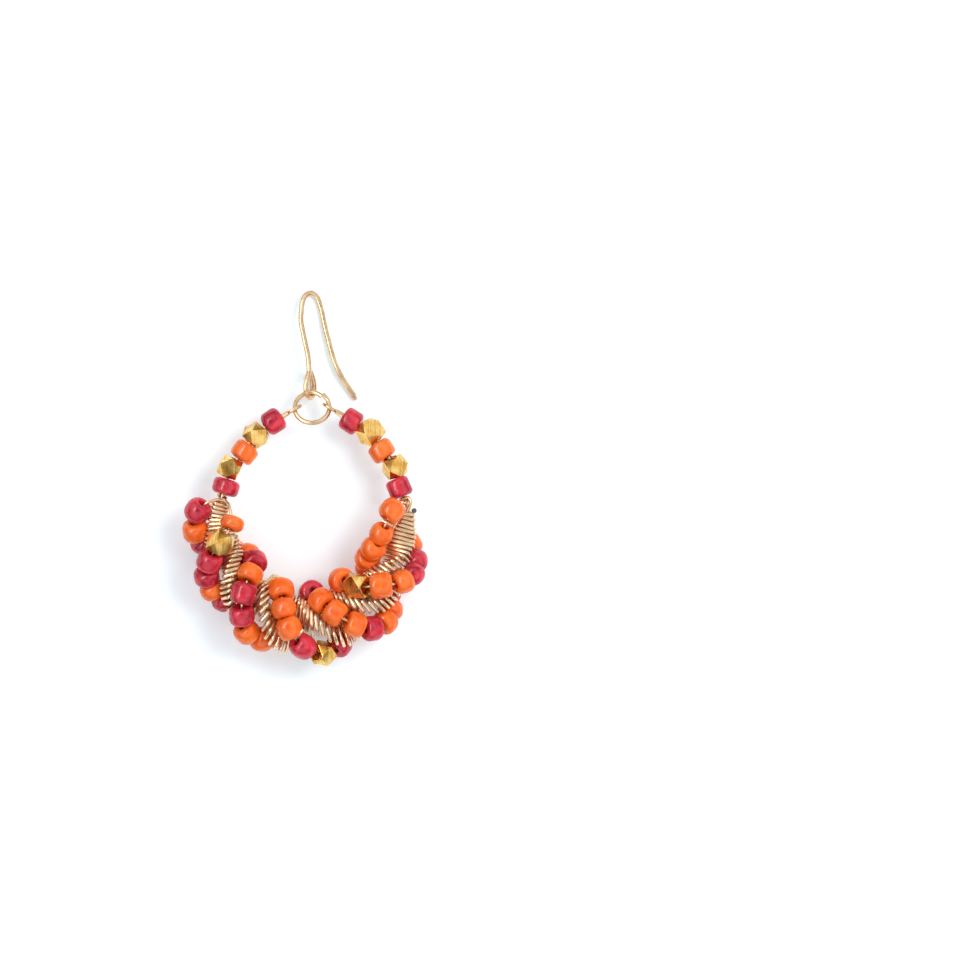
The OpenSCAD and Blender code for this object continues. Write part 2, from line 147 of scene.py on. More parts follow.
# The hoop's line, from its left eye round to its right one: x, y and share of the rise from eye to hoop.
hoop_stations = [
    (-1.8, 11.1, 0), (-5.45, 8.95, 0.2), (-8.0, 6.8, 0.4), (-10.1, 4.2, 0.6), (-11.9, 1.6, 0.8),
    (-12.9, -1.5, 0.95), (-13.5, -3.5, 1), (-14.1, -6.7, 1), (-13.4, -10.4, 1), (-12.2, -14.2, 1),
    (-10.1, -18.1, 1), (-7.0, -21.0, 1), (-3.0, -22.8, 1), (1.0, -23.4, 1), (5.1, -22.4, 1),
    (9.0, -20.3, 1), (12.0, -17.3, 1), (13.8, -14.1, 1), (15.0, -11.2, 1), (15.8, -8.3, 1),
    (16.3, -5.6, 1), (15.8, -3.4, 1), (14.8, -1.2, 0.95), (13.9, 2.0, 0.8), (12.2, 4.7, 0.6),
    (10.1, 7.3, 0.4), (7.1, 9.3, 0.2), (3.7, 11.5, 0),
]
# Lengths along the hoop count from this station, where the coil starts.
start_station = 6
stretch_steps = 10


def curve(rows, u):
    """Smooth curve through a list of rows: u counts rows."""
    k = min(int(u), len(rows) - 2)
    t = u - k
    a, b, c, d = (Vector(rows[min(max(i, 0), len(rows) - 1)]) for i in (k - 1, k, k + 1, k + 2))
    bend, swing = 2 * a - 5 * b + 4 * c - d, 3 * b - a - 3 * c + d
    return 0.5 * (2 * b + (c - a) * t + bend * t ** 2 + swing * t ** 3)


def lookup(along, table):
    """Value at a place in a table of two columns, straight from row to row."""
    if along <= table[0][0]:
        return table[0][1]
    for (a, low), (b, high) in zip(table, table[1:]):
        if along <= b:
            return low + (high - low) * (along - a) / (b - a)
    return table[-1][1]


line = []
for i in range(stretch_steps * (len(hoop_stations) - 1) + 1):
    p = curve(hoop_stations, i / stretch_steps)
    line.append(Vector((p[0], p[1], eye_z + p[2] * (hoop_z - eye_z))) - middle)
lengths = [0]
for a, b in zip(line, line[1:]):
    lengths.append(lengths[-1] + (b - a).length)
start_length = lengths[start_station * stretch_steps]
hoop_tables = [[(length - start_length, p[axis]) for length, p in zip(lengths, line)] for axis in range(3)]


def hoop(along):
    """The hoop's line at a length along it."""
    return Vector([lookup(along, table) for table in hoop_tables])


def heading(along):
    """The hoop's direction at a length along it."""
    return (hoop(along + 0.2) - hoop(along - 0.2)).normalized()


def beside(along, angle, reach, rise):
    """Point beside the hoop's line: reach is in the hoop's plane, rise across it."""
    outward = heading(along).cross(Vector((0, 0, 1))).normalized()
    upward = outward.cross(heading(along))
    angle = math.radians(angle)
    return hoop(along) + reach * math.cos(angle) * outward + rise * math.sin(angle) * upward


def drawn_wire(name, points, diameter, material, sides, widths=None):
    """Round wire along a line of points in mm, with closed ends, as one mesh."""
    path = bpy.data.curves.new(name, "CURVE")
    path.dimensions = "3D"
    path.bevel_depth = diameter / 2 * mm
    path.bevel_resolution = sides // 2 - 2
    path.use_fill_caps = True
    spline = path.splines.new("POLY")
    spline.points.add(len(points) - 1)
    for i, p in enumerate(points):
        spline.points[i].co = (*(p * mm), 1)
        spline.points[i].radius = widths[i] if widths else 1
    wire = bpy.data.objects.new(name, path)
    bpy.context.collection.objects.link(wire)
    deselect()
    wire.select_set(True)
    bpy.context.view_layer.objects.active = wire
    bpy.ops.object.convert(target="MESH")
    wire = bpy.context.object
    wire.name = name
    bpy.ops.object.shade_smooth_by_angle(angle=math.radians(50))
    wire.data.materials.append(material)
    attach(wire, "root")
    return wire


def plated_wire(name, shade, light, dents):
    """Brass wire drawn through a die and plated: bright, with faint cloudy patches of handling, small
    knocks, and the die's lines along it, drawn much coarser than they are."""
    material, tree, shader = new_material(name)
    coordinates = node(tree, "TexCoord").outputs
    place = coordinates["Object"]
    cloud = node(tree, "TexNoise", {"Vector": place, "Scale": 1 / (1.4 * mm), "Detail": 4})
    patch = node(tree, "MapRange", {"Value": cloud.outputs["Fac"], "From Min": 0.35, "From Max": 0.65})
    tint = node(tree, "Mix", {"Factor": patch.outputs["Result"], "A": linear(shade), "B": linear(light)},
                data_type="RGBA")
    tree.links.new(tint.outputs["Result"], shader.inputs["Base Color"])
    shader.inputs["Metallic"].default_value = 1
    dull = node(tree, "MapRange", {"Value": cloud.outputs["Fac"], "From Min": 0.3, "From Max": 0.7,
                                   "To Min": 0.24, "To Max": 0.36})
    tree.links.new(dull.outputs["Result"], shader.inputs["Roughness"])
    lines = node(tree, "TexNoise", {"Vector": node(tree, "Mapping", {
        "Vector": coordinates["UV"], "Scale": (14, 3, 1)}).outputs["Vector"], "Scale": 1.0, "Detail": 3})
    knocks = node(tree, "TexNoise", {"Vector": place, "Scale": 1 / (0.9 * mm), "Detail": 1})
    grain = node(tree, "Mix", {"Factor": 0.6, "A": lines.outputs["Fac"], "B": knocks.outputs["Fac"]})
    bump = node(tree, "Bump", {"Height": grain.outputs["Result"], "Strength": dents, "Distance": 0.03 * mm})
    tree.links.new(bump.outputs["Normal"], shader.inputs["Normal"])
    return material


champagne = plated_wire("champagne gold plated wire", "#dab488", "#f2d7ae", 0.09)

# The jump ring leans on the eyes, so their places come from its own line.
ring_centre = Vector((0.93, 11.3, eye_z)) - middle
ring_r, ring_slope = 2.78, math.radians(27)


def ring_point(angle, radius=ring_r):
    """A place on the jump ring."""
    a = math.radians(angle)
    return ring_centre + radius * Vector((math.cos(a), math.sin(a) * math.cos(ring_slope),
                                          -math.sin(a) * math.sin(ring_slope)))


# The neck's two strands lie side by side and turn slowly round each other: degrees, and degrees a mm.
strand_offset, neck_start, neck_angle, neck_twist, neck_step = 0.29, 1.2, 70, 14, 0.1
# Half the eye's length and width, its step back from the ring, its sweep, and how soon its cut end stops.
eye_reach, eye_width, eye_back, eye_sweep, eye_points, cut_back = 1.1, 0.85, 0.1, 300, 19, 0.8


def eye(ring_place, bead_place):
    """One end of the hoop's wire, from inside the first bead round the eye and back to that bead."""
    reach = (ring_place - bead_place).length
    a = (ring_place - bead_place) / reach
    c = a.cross(Vector((0, 0, 1))).normalized()
    b = c.cross(a)
    neck = []
    back = neck_start
    while back < reach:
        turn = math.radians(neck_angle - neck_twist * (back - neck_start))
        neck.append((back, strand_offset * math.cos(turn), strand_offset * math.sin(turn)))
        back += neck_step
    tail = [ring_place - s * a - x * c - y * b for s, x, y in reversed(neck) if s < reach - cut_back]
    loop = []
    for i in range(eye_points):
        turn = math.radians(-eye_sweep / 2 + eye_sweep * i / (eye_points - 1))
        out, across = eye_reach * math.cos(turn) - eye_back, eye_width * math.sin(turn)
        loop.append(ring_place + out * a + across * b)
    return tail + loop + [ring_place - s * a + x * c + y * b for s, x, y in neck]


# Where the first and the last bead sit along the hoop, and the wire's way between them.
first_bead, last_bead, body_start, body_step, body_points = -15.5, 71.8, -14.7, 0.5, 172
left_eye = eye(ring_point(186), hoop(first_bead))
right_eye = eye(ring_point(0), hoop(last_bead))
body = [hoop(body_start + body_step * i) for i in range(body_points)]
piece = drawn_wire("hoop_wire_plated", left_eye + body + right_eye[::-1], hoop_wire, champagne, hoop_sides)
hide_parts("hoop_wire")

# Ear hook
# Thicker plated wire bent round a peg: a long narrow hook whose open end is straight and rounded for the
# ear, with the front leg lightly hammered and its foot turned up to a teardrop loop through the jump ring.
hook_wire, hook_sides, tail_length = 0.76, 20, 3.4
# The hook rests on its open end and leans up from there to its loop.
tail_tip = Vector((7.84, 12.8, 0)) - middle
hook_turn, tail_turn, lean = math.radians(20.8), math.radians(14), math.radians(23)
# The bend and the front leg in the hook's own plane, measured from its tip, and then the loop at its foot.
hook_stations = [
    (-1.12, 5.2), (-1.17, 6.9), (-1.07, 8.6), (-0.86, 10.2), (-0.68, 11.9), (-0.43, 13.5), (-0.17, 15.1),
    (0, 16.8), (-0.15, 17.8), (-0.75, 18.45), (-1.65, 18.45), (-2.45, 17.85), (-3.07, 16.95),
    (-3.5, 16.1), (-4.12, 14.7), (-4.42, 13.1), (-4.72, 11.5), (-4.95, 9.9), (-5.32, 8.3),
]
loop_stations = [
    (0.38, 17.3, 2.62), (0.28, 16.6, 2.9), (0.06, 15.7, 3.25), (-0.08, 14.7, 3.45), (0.0, 13.8, 3.35),
    (0.25, 13.15, 2.9), (0.6, 12.9, 2.2), (0.85, 13.2, 1.6), (0.98, 13.9, 1.25), (1.0, 14.8, 1.1),
    (0.9, 15.8, 1.25), (0.55, 17.2, 1.65),
]


def hook_point(x, y):
    """A place in the hook's own plane."""
    side = x * math.cos(lean)
    return tail_tip + Vector((side * math.cos(hook_turn) - y * math.sin(hook_turn),
                              side * math.sin(hook_turn) + y * math.cos(hook_turn),
                              hook_wire / 2 - x * math.sin(lean)))


tail = [(-tail_length * t * math.sin(tail_turn), tail_length * t * math.cos(tail_turn)) for t in (0, 0.5, 1)]
stations = [hook_point(*p) for p in tail + hook_stations] + [Vector(p) - middle for p in loop_stations]
steps = 6
points = [curve(stations, i / steps) for i in range(steps * (len(stations) - 1) + 1)]
# Shares of the wire's thickness: the filed tip, the light hammering, and the loop's end beaten to a leaf.
tip_lengths, tip_widths = [0.02, 0.08, 0.2], [0.35, 0.7, 0.94, 1.09]
hammered, dent, leaf_swell, leaf = 1.13, 0.05, 0.4, 5 * steps
tip_way = (points[1] - points[0]).normalized()
points[1:1] = [points[0] + back * tip_way for back in tip_lengths]
widths = tip_widths + [hammered + dent * math.sin(1.1 * i) * math.sin(0.37 * i)
                       for i in range(len(points) - len(tip_widths))]
widths[-leaf:] = [hammered + leaf_swell * math.sin(math.pi * i / leaf) for i in range(leaf)]
piece = drawn_wire("ear_hook_plated", points, hook_wire, champagne, hook_sides, widths)
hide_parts("ear_hook")

# Jump ring
# One turn of the same wire, cut straight with pliers and pressed shut. Its ends lap by a hair: one is
# bent a little outwards and up over the other, which is pressed a little inwards.
ring_wire, ring_steps, ring_start, ring_sweep = 0.76, 96, 53, 363
bent_out, pressed_in, bent_up = 0.14, 0.26, 0.5
points = []
for i in range(ring_steps + 1):
    t = i / ring_steps
    step = bent_out * max(0, (t - 0.9) / 0.1) - pressed_in * max(0, (0.1 - t) / 0.1)
    rise = Vector((0, 0, bent_up * max(0, (t - 0.92) / 0.08)))
    points.append(ring_point(ring_start + ring_sweep * t, ring_r + step) + rise)
piece = drawn_wire("jump_ring_plated", points, ring_wire, champagne, hook_sides)
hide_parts("jump_ring")

# Wire coil
# One long wire wound round a flat bar, slid on the hoop and twisted along it, so that its flat turns
# stand on edge and lie down by turns. Wound by hand: no two turns are quite alike. The strings lie in its
# two grooves, so their rows are here: place along the hoop, angle round it and lift off the coil, and
# then what the wire carries there, with its thickness and length.
orange, burgundy, nugget, bare = "orange", "burgundy", "nugget", "bare"
string_one = [
    (0.9, 60, 0, bare, 0, 0), (2.3, 20, 0, burgundy, 4.1, 2.4), (4.4, -1, 0.1, orange, 4.1, 2.3),
    (6.2, -38, 0.15, burgundy, 4.0, 2.1), (7.7, -74, 0.1, orange, 4.0, 1.9),
    (9.1, -109, 0.1, orange, 4.0, 1.9), (10.4, -146, 0, orange, 4.0, 1.8),
    (12.0, -187, 0, burgundy, 4.0, 2.0), (13.7, -230, 0, orange, 4.0, 2.0),
    (15.9, -268, 0, burgundy, 4.0, 2.9), (18.0, -306, 0, burgundy, 4.0, 2.2),
    (19.7, -346, 0, orange, 4.0, 2.2), (21.7, -376, 0, orange, 4.0, 2.2),
    (23.4, -414, 0, orange, 4.0, 2.3), (25.1, -452, 0, burgundy, 4.0, 2.3),
    (26.7, -487, 0.1, orange, 4.0, 2.1), (28.6, -531, 0.5, burgundy, 4.0, 2.0),
    (30.7, -580, 0, orange, 4.0, 2.1), (32.5, -618, 0, orange, 4.0, 2.4),
    (34.6, -656, 0, orange, 4.0, 2.4), (36.2, -690, 0, burgundy, 4.0, 2.3),
    (37.9, -721, 0, orange, 4.0, 2.0), (39.4, -753, 0, orange, 4.0, 1.8),
    (40.6, -784, 0, burgundy, 4.0, 1.9), (41.7, -818, 0, orange, 4.0, 1.8),
    (42.8, -856, 0.8, orange, 4.0, 1.9), (44.1, -899, 0.6, orange, 4.0, 1.7),
    (46.2, -926, 0.6, orange, 4.0, 2.1), (49.3, -936, 0.7, orange, 4.0, 2.3),
    (53.5, -949, 0.3, orange, 4.0, 2.1), (55.4, -968, 0, bare, 0, 0),
]
string_two = [
    (1.3, 126, 0.9, bare, 0, 0), (4.1, 130, 0.3, orange, 3.9, 2.1), (6.9, 90, 0.3, nugget, 3.4, 3.4),
    (9.2, 50, 0, burgundy, 4.0, 2.5), (11.0, 14, 0, burgundy, 4.0, 2.2),
    (13.0, -9, 0, orange, 4.0, 2.2), (14.8, -36, 0, burgundy, 4.0, 1.9),
    (16.2, -69, 0.1, orange, 4.0, 2.0), (17.6, -103, 0.1, burgundy, 4.0, 2.0),
    (19.3, -148, 0.2, nugget, 3.2, 2.9), (21.2, -207, 0.4, orange, 4.0, 2.2),
    (23.1, -246, 0, orange, 4.0, 2.2), (24.9, -281, 0.1, orange, 4.0, 2.6),
    (27.1, -319, 0, burgundy, 4.0, 2.8), (29.2, -354, 0.2, nugget, 3.3, 3.1),
    (31.3, -387, 0, burgundy, 4.0, 2.1), (32.5, -423, 0, orange, 4.0, 2.1),
    (33.6, -457, 0, burgundy, 4.0, 2.1), (34.9, -493, 0.4, orange, 4.0, 1.9),
    (36.4, -547, 0.6, orange, 4.0, 1.9), (38.6, -593, 0.4, nugget, 3.4, 3.2),
    (41.4, -629, 0.1, orange, 4.1, 3.1), (43.4, -669, 0, orange, 4.0, 2.2),
    (45.3, -702, 0.1, burgundy, 4.0, 2.1), (47.1, -740, 0.1, burgundy, 4.0, 2.1),
    (49.0, -780, 0.3, orange, 4.0, 2.2), (51.4, -815, 0, orange, 4.0, 2.2), (53.6, -832, 0, bare, 0, 0),
    (55.3, -842, 0, bare, 0, 0),
]
# Along the hoop: half the flat turns' width, their shift outwards, their spacing, their turn out of the
# middle between the grooves, and how far their long sides lean along the hoop.
coil_reach = [(0.3, 0.85), (1.3, 0.95), (2.2, 1.3), (5, 2.35), (8, 2.8), (16, 3.7), (22, 4.6), (30, 4.7),
              (34, 4.2), (41, 3.3), (48, 2.1), (50, 1.8), (52, 1.2), (54.4, 0.8)]
coil_shift = [(18, 0), (22, 0.5), (32, 0.5), (37, 0)]
coil_spacing = [(0.3, 0.6), (12, 0.63), (18, 0.72), (38, 0.72), (43, 0.68), (47, 0.67), (54.4, 0.66)]
coil_upright = [(0.3, 25), (4.6, 15), (7, 0), (44.6, 0), (47.3, -30), (49, -40), (51.2, -30), (53.9, -12)]
coil_slant = [(4, 0), (8, 0.12), (18, 0.12), (26, 0), (36, 0), (42, 0), (46, 0.2), (50, 0.4)]
coil_wire, coil_thickness, corner, coil_share, narrowest = 0.59, 3.05, 0.42, 0.95, 0.7
coil_start, coil_end, last_turn_cut, coil_sides = 0.3, 54.4, 10, 12
uneven_width, uneven_tilt = 0.05, 2


def coil_angle(along):
    """The flat turns' angle round the hoop, midway between the two strings."""
    one, two = (lookup(along, [row[:2] for row in rows]) for rows in (string_one, string_two))
    return (one + two) / 2 + lookup(along, coil_upright)


def flat_turn(half_width, half_height):
    """One turn round the flat bar: its share of the way round, and its place across the coil."""
    w, h = half_width - corner, half_height - corner
    shape = []
    for quarter, (x, y) in enumerate(((w, h), (-w, h), (-w, -h), (w, -h))):
        for step in range(4):
            a = math.radians(90 * quarter + 30 * step)
            shape.append((x + corner * math.cos(a), y + corner * math.sin(a)))
        if quarter % 2 == 0:
            shape.append((0, y + math.copysign(corner, y)))
        else:
            shape.append((x + math.copysign(corner, x), 0))
    way = [0]
    for a, b in zip(shape, shape[1:] + shape[:1]):
        way.append(way[-1] + math.dist(a, b))
    return [(gone / way[-1], *p) for gone, p in zip(way, shape)]


def bowed(places):
    """Points of a stretch of wire that bows freely from station to station."""
    steps = 5
    stations = [Vector(p) - middle for p in places]
    return [curve(stations, i / steps) for i in range(steps * (len(places) - 1) + 1)]


hand = random.Random(5)
points = []
start = coil_start
while start < coil_end:
    wider = hand.uniform(-uneven_width, uneven_width)
    leaned = hand.uniform(-uneven_tilt, uneven_tilt)
    half_width = max(coil_share * lookup(start, coil_reach) + wider, narrowest)
    for t, u, v in flat_turn(half_width, (coil_thickness - coil_wire) / 2):
        at = start + t * lookup(start, coil_spacing)
        u += lookup(at, coil_shift) * math.cos(math.radians(coil_angle(at)))
        twist = math.radians(coil_angle(at + 0.5) - coil_angle(at - 0.5))
        along = at - lookup(at, coil_slant) * twist * u * v
        tilt = math.radians(coil_angle(along) + leaned)
        points.append(beside(along, 0, u * math.cos(tilt) - v * math.sin(tilt), 0)
                      + beside(along, 90, 0, u * math.sin(tilt) + v * math.cos(tilt)) - hoop(along))
    start += lookup(start, coil_spacing)
points = points[:-last_turn_cut]
pale_gold = plated_wire("pale gold plated wire", "#edc698", "#fae3c2", 0.12)
# The coil wire's end: up out of the last turn and over the hoop's wire.
tie = [(16.16, -5.3, 6.5), (16.5, -4.7, 6.7), (16.8, -4.0, 6.8), (16.72, -3.44, 6.7), (16.16, -3.15, 6.4),
       (15.2, -3.5, 5.9)]
piece = drawn_wire("wire_coil_plated", points + bowed(tie), coil_wire, pale_gold, coil_sides)
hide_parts("wire_coil")

# The coil's cut end at the right, melted by a flame to a little ball, slightly flat, and left dark: grey
# fire scale in spots on blackened metal.
ball_radius, ball_place, flattened = 0.4, Vector((17.35, -5.2, 6.4)) - middle, 0.9
deselect()
bpy.ops.mesh.primitive_uv_sphere_add(segments=24, ring_count=16, radius=ball_radius * mm)
ball = bpy.context.object
ball.name = "coil_end_ball"
ball.data.transform(Matrix.Translation(ball_place * mm) @ Matrix.Diagonal((1, 1, flattened, 1)))
bpy.ops.object.shade_smooth()
scaled, tree, shader = new_material("fire scaled wire end")
place = node(tree, "TexCoord").outputs["Object"]
spots = node(tree, "TexNoise", {"Vector": place, "Scale": 1 / (0.2 * mm)})
tint = node(tree, "Mix", {"Factor": spots.outputs["Fac"], "A": linear("#2b2630"), "B": linear("#8d8792")},
            data_type="RGBA")
tree.links.new(tint.outputs["Result"], shader.inputs["Base Color"])
shader.inputs["Metallic"].default_value = 1
shader.inputs["Roughness"].default_value = 0.35
ball.data.materials.append(scaled)
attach(ball, "root")

# Threading wires of the two strings
# Thinner wire that carries the seed beads, wound into the two grooves of the coil. Its ends are wrapped
# tightly round the hoop between the coil and the upper beads, and cut off.
string_rise, thread, thread_sides = 3.45, 0.46, 10
wrap_pitch, wrap_reach, wrap_points = 0.95, 0.72, 25
# Along the hoop: how far out the strings lie beside it, and the share of their rise above it.
string_reach = [(-0.4, 0.8), (0.7, 1.7), (2.2, 3.4), (4, 3.6), (10, 3.9), (13, 4.1), (20, 4.4), (30, 4.6),
                (36, 4.6), (40, 4.2), (45, 3.8), (54.3, 3.4), (55.5, 1.7), (56.3, 0.8)]
string_lift = [(-0.4, 0.2), (0.7, 0.5), (2.2, 1), (54.3, 1), (55.5, 0.5), (56.3, 0.2)]


def on_string(rows, u):
    """Middle of a string at row u."""
    along, angle, lift = curve([row[:3] for row in rows], u)
    return beside(along, angle, lookup(along, string_reach) + lift,
                  lookup(along, string_lift) * string_rise + lift)


def string_heading(rows, k):
    """A string's direction at row k."""
    return (on_string(rows, k + 0.1) - on_string(rows, k - 0.1)).normalized()


def wrap(along, angle, way):
    """One end of a string's wire, wrapped once round the hoop's wire."""
    made = []
    for i in range(wrap_points):
        done = way * i / (wrap_points - 1)
        made.append(beside(along + wrap_pitch * done, angle - 360 * done, wrap_reach, wrap_reach))
    return made


# The left ends: where each is wrapped on the hoop, and its bow from there to the first bead. At the right
# only the first string's wire is wrapped.
right_wrap = 56.25, 122
bow_one = [(-12.9, -3.7, 6.1), (-13.9, -3.5, 6.5), (-14.9, -3.6, 6.8), (-15.7, -3.95, 6.9),
           (-16.25, -4.5, 6.8)]
bow_two = [(-12.9, -3.6, 6.2), (-12.45, -4.0, 6.9), (-12.0, -4.8, 7.6), (-11.75, -5.8, 8.1)]
steps = 6
for name, rows, left_wrap, bow in (("thread_one", string_one, (-1.0, 60), bow_one),
                                   ("thread_two", string_two, (-0.7, 30), bow_two)):
    points = wrap(*left_wrap, 1) + bowed(bow)
    points += [on_string(rows, i / steps) for i in range(steps, steps * (len(rows) - 1) + 1)]
    if rows is string_one:
        points += wrap(*right_wrap, -1)[::-1]
    piece = drawn_wire(name + "_plated", points, thread, pale_gold, thread_sides)
    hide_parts(name)

# Short ends of wire, left where the strings were pulled tight: each crosses its thread between two beads.
for name, places in (("tie_wire_right", [(12.5, -6.85, 9.3), (13.2, -7.2, 9.5), (13.85, -7.65, 9.1)]),
                     ("tie_wire_below", [(-0.25, -24.1, 9.6), (-0.85, -24.9, 9.7), (-1.4, -25.6, 9.0)])):
    drawn_wire(name, bowed(places), thread, pale_gold, thread_sides)

# Seed beads
# Pressed glass seed beads of about 4 mm, fire polished so that their rims are round and soft, in an opaque
# orange and a burgundy that lets a little light in. Each is a little different from the next.
bead_bore, bore_rim, bead_sides = 1.0, 0.32, 40


def bead_blank(d, length, softness, ball=0):
    """One bead standing on its end, with an eased bore and a rim that is rounded by a share of its wall, and
    drawn to a ball by a share."""
    deselect()
    bpy.ops.mesh.primitive_cylinder_add(vertices=bead_sides, radius=d / 2 * mm, depth=length * mm)
    blank = bpy.context.object
    bpy.ops.object.mode_set(mode="EDIT")
    mesh = bmesh.from_edit_mesh(blank.data)
    bpy.ops.mesh.select_all(action="DESELECT")
    for face in mesh.faces:
        face.select_set(abs(face.normal.z) > 0.9)
    bmesh.update_edit_mesh(blank.data)
    wall = (d - bead_bore) / 2
    bpy.ops.mesh.inset(thickness=wall * mm)
    bpy.ops.mesh.bridge_edge_loops()
    mesh = bmesh.from_edit_mesh(blank.data)
    for inner, width, segments in ((False, min(0.42 * length, softness * wall), 6), (True, bore_rim, 4)):
        bpy.ops.mesh.select_all(action="DESELECT")
        bpy.ops.mesh.select_mode(type="EDGE")
        for edge in mesh.edges:
            ends = [v.co for v in edge.verts]
            flat = abs(ends[0].z - ends[1].z) < 1e-6 and abs(abs(ends[0].z) - length / 2 * mm) < 1e-6
            radii = [v.xy.length / mm for v in ends]
            level = abs(radii[0] - radii[1]) < 1e-3
            on_rim = radii[0] < bead_bore / 2 + 0.05 if inner else radii[0] > d / 2 - 0.05
            edge.select_set(flat and level and on_rim)
        bmesh.update_edit_mesh(blank.data)
        bpy.ops.mesh.bevel(offset=width * mm, segments=segments, profile=0.5)
        mesh = bmesh.from_edit_mesh(blank.data)
    bpy.ops.object.mode_set(mode="OBJECT")
    if ball:
        cast = blank.modifiers.new("ball", "CAST")
        cast.factor = ball
        cast.size = d / 2 * mm
        cast.use_radius_as_size = False
        bpy.ops.object.modifier_apply(modifier=cast.name)
    return blank


def threaded(place, way, turn=0):
    """Puts the Z axis of a bead on a place and a direction."""
    return Matrix.Translation(place * mm) @ way.to_track_quat("Z", "Y").to_matrix().to_4x4() \
        @ Matrix.Rotation(math.radians(turn), 4, "Z")


def copy_of(blank, matrix):
    """A bead of its own, made from a blank and put in its place."""
    copy = bpy.data.objects.new(blank.name, blank.data.copy())
    bpy.context.collection.objects.link(copy)
    copy.data.transform(matrix)
    return copy


def string_of_beads(name, copies, material, slot, uneven=0.16):
    """Joins the beads of one kind to one piece, and gives each its own uneven shape."""
    deselect()
    for copy in copies:
        copy.select_set(True)
    bpy.context.view_layer.objects.active = copies[0]
    if len(copies) > 1:
        bpy.ops.object.join()
    piece = bpy.context.object
    piece.name = name
    lumps = bpy.data.textures.new(name, "CLOUDS")
    lumps.noise_scale = 2.4 * mm
    push = piece.modifiers.new("uneven", "DISPLACE")
    push.texture = lumps
    push.texture_coords = "LOCAL"
    push.strength = uneven * mm
    push.mid_level = 0.6
    bpy.ops.object.modifier_apply(modifier=push.name)
    bpy.ops.object.shade_smooth()
    piece.data.materials.clear()
    piece.data.materials.append(material)
    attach(piece, "root")
    return piece


def pressed_glass(name, deep, pale, streak, roughness, dents):
    """Opaque pressed glass: the colour clouds a little, a thin skin of polish gives a soft highlight."""
    material, tree, shader = new_material(name)
    place = node(tree, "TexCoord").outputs["Object"]
    cloud = node(tree, "TexNoise", {"Vector": place, "Scale": 1 / (2.2 * mm), "Detail": 5,
                                    "Roughness": 0.6})
    smear = node(tree, "TexNoise", {"Vector": place, "Scale": 1 / (0.7 * mm), "Detail": 3,
                                    "Distortion": 1.2})
    even = node(tree, "MapRange", {"Value": cloud.outputs["Fac"], "From Min": 0.35, "From Max": 0.65})
    tint = node(tree, "Mix", {"Factor": even.outputs["Result"], "A": linear(deep), "B": linear(pale)},
                data_type="RGBA")
    amount = node(tree, "MapRange", {"Value": smear.outputs["Fac"], "From Min": 0.6, "From Max": 0.78,
                                     "To Max": 0.45})
    tint = node(tree, "Mix", {"Factor": amount.outputs["Result"], "A": tint.outputs["Result"],
                              "B": linear(streak)}, data_type="RGBA")
    tree.links.new(tint.outputs["Result"], shader.inputs["Base Color"])
    shader.inputs["Subsurface Weight"].default_value = 0.15
    shader.inputs["Subsurface Radius"].default_value = (1.0, 0.35, 0.2)
    shader.inputs["Subsurface Scale"].default_value = 0.6 * mm
    dull = node(tree, "MapRange", {"Value": smear.outputs["Fac"], "To Min": roughness - 0.06,
                                   "To Max": roughness + 0.1})
    tree.links.new(dull.outputs["Result"], shader.inputs["Roughness"])
    skin = node(tree, "TexNoise", {"Vector": place, "Scale": 1 / (0.9 * mm), "Detail": 2})
    bump = node(tree, "Bump", {"Height": skin.outputs["Fac"], "Strength": dents, "Distance": 0.06 * mm})
    tree.links.new(bump.outputs["Normal"], shader.inputs["Normal"])
    return material


orange_glass = pressed_glass("opaque orange pressed glass", "#ef6118", "#fb7c2c", "#ff9148", 0.17, 0.12)
burgundy_glass = pressed_glass("burgundy pressed glass", "#a3122b", "#e13747", "#ee6676", 0.17, 0.4)
glass = {orange: (orange_glass, "orange_glass"), burgundy: (burgundy_glass, "burgundy_glass")}

# The ten upper beads, from the jump ring down: place along the hoop, shift outwards, kind, thickness and
# length. The first at the left is the roundest.
upper_beads = {
    "left": [(first_bead, 0.0, burgundy, 4.0, 3.3), (-11.95, 0.1, nugget, 3.3, 3.2),
             (-8.65, -0.25, orange, 4.1, 2.9), (-5.3, 0.25, nugget, 3.3, 3.2),
             (-2.2, -0.1, burgundy, 4.4, 2.6)],
    "right": [(last_bead, -0.1, burgundy, 3.9, 3.0), (68.2, 0.25, nugget, 3.5, 3.6),
              (64.7, -0.25, orange, 4.1, 2.9), (61.4, 0.25, nugget, 3.3, 3.1),
              (58.0, 0.0, burgundy, 3.8, 3.1)],
}
roundest, rounded, upper_uneven = 0.66, 0.48, 0.22
for side, rows in upper_beads.items():
    for k, (along, outwards, kind, d, length) in enumerate(rows):
        if kind == nugget:
            continue
        name = f"bead_{side}_{k + 1}"
        blank = bead_blank(d, length, roundest if along == first_bead else rounded)
        blank.data.transform(threaded(beside(along, 0, outwards, 0), heading(along)))
        piece = string_of_beads(name + "_glass", [blank], *glass[kind], upper_uneven)
        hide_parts(name)

